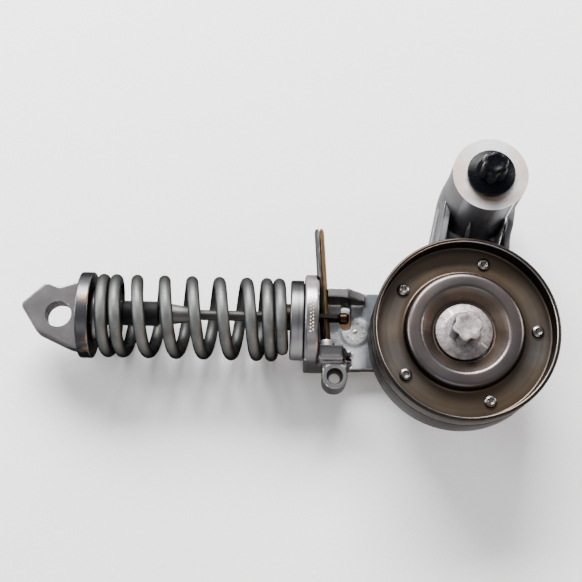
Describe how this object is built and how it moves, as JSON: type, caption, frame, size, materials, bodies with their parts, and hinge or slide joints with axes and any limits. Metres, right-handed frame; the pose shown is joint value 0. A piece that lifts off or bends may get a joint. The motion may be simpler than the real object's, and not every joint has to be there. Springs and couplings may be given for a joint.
{
  "type": "belt tensioner",
  "caption": "Automotive belt tensioner: cast pivoting arm with a riveted steel idler pulley, and a spring strut held compressed by a lock pin.",
  "frame": {"origin": "on the pivot axis at the rear face of the pivot sleeve, which bolts against the engine", "axes": "+Z along the pivot axis away from the engine, +X along the spring strut from its eye towards the pulley, +Y from the pulley towards the pivot"},
  "size_m": [0.2066, 0.108, 0.0665],
  "materials": {
    "cast_aluminium": "satin die-cast aluminium with machined faces",
    "rough_casting": "rough as-cast aluminium",
    "pulley_steel": "pressed steel, dark satin with a brownish cast",
    "rivet_steel": "bright set rivets",
    "bearing_steel": "ground bearing steel",
    "seal_rubber": "dark bearing seal",
    "zinc_plate": "matt zinc-flake plated steel, scuffed on the head",
    "black_bolt": "black oiled steel, glossy",
    "sleeve_steel": "turned steel",
    "bush_bronze": "bronze-backed bush",
    "spring_steel": "satin grey-green coated spring wire",
    "seat_aluminium": "polished turned aluminium",
    "bump_rubber": "black moulded bump stop",
    "rod_steel": "drawn steel rod",
    "pin_steel": "rolled spring pin with a yellowish temper tint"
  },
  "bodies": {
    "pivot_mount": {"pivot_sleeve": "sleeve_steel", "pivot_bolt": "black_bolt"},
    "arm": {"tensioner_arm": "cast_aluminium", "pivot_bush_rear": "bush_bronze", "pivot_bush_front": "bush_bronze", "pulley_bolt": "zinc_plate", "pulley_washer": "zinc_plate", "bearing_inner_ring": "bearing_steel", "strut_circlip": "spring_steel"},
    "cage": {"bearing_cage": "bearing_steel", "bearing_ball_1": "bearing_steel", "bearing_ball_2": "bearing_steel", "bearing_ball_3": "bearing_steel", "bearing_ball_4": "bearing_steel", "bearing_ball_5": "bearing_steel", "bearing_ball_6": "bearing_steel", "bearing_ball_7": "bearing_steel", "bearing_ball_8": "bearing_steel"},
    "pulley": {"pulley_front_half": "pulley_steel", "pulley_rear_half": "pulley_steel", "pulley_rivet_1": "rivet_steel", "pulley_rivet_2": "rivet_steel", "pulley_rivet_3": "rivet_steel", "pulley_rivet_4": "rivet_steel", "pulley_rivet_5": "rivet_steel", "bearing_outer_ring": "bearing_steel", "bearing_seal_front": "seal_rubber", "bearing_seal_rear": "seal_rubber"},
    "housing": {"strut_housing": "rough_casting", "spring_seat_cup": "seat_aluminium", "rod_guide_bush": "bush_bronze", "strut_head_bush": "bush_bronze", "lock_pin_collar": "zinc_plate", "strut_spring": "spring_steel"},
    "rod": {"strut_eye_end": "cast_aluminium", "bump_stop": "bump_rubber", "rod_collar": "rod_steel", "strut_rod": "rod_steel"},
    "pin": {"lock_pin": "pin_steel"}
  },
  "joints": [
    {"name": "arm_swing", "type": "hinge", "parent": "pivot_mount", "child": "arm", "pos_m": [0, 0, 0], "axis": [0, 0, 1], "range_deg": [-15, 25]},
    {"name": "pulley_spin", "type": "hinge", "parent": "arm", "child": "pulley", "pos_m": [-0.0087, -0.0578, 0.026], "axis": [0, 0, 1], "continuous": true},
    {"name": "cage_spin", "type": "hinge", "parent": "arm", "child": "cage", "pos_m": [-0.0087, -0.0578, 0.026], "axis": [0, 0, 1], "continuous": true},
    {"name": "strut_swivel", "type": "hinge", "parent": "arm", "child": "housing", "pos_m": [-0.0087, -0.0578, 0], "axis": [0, 0, 1], "range_deg": [-20, 20]},
    {"name": "strut_stroke", "type": "slide", "parent": "housing", "child": "rod", "axis": [1, 0, 0], "range_m": [0, 0.006], "stiffness_N_per_m": 30000, "deforming": ["strut_spring"]},
    {"name": "lock_pin_pull", "type": "slide", "parent": "housing", "child": "pin", "axis": [-0.0725, 0.9974, 0], "range_m": [0, 0.05]}
  ],
  "couplings": [
    {"joint": "cage_spin", "follows": "pulley_spin", "ratio": 0.618}
  ]
}
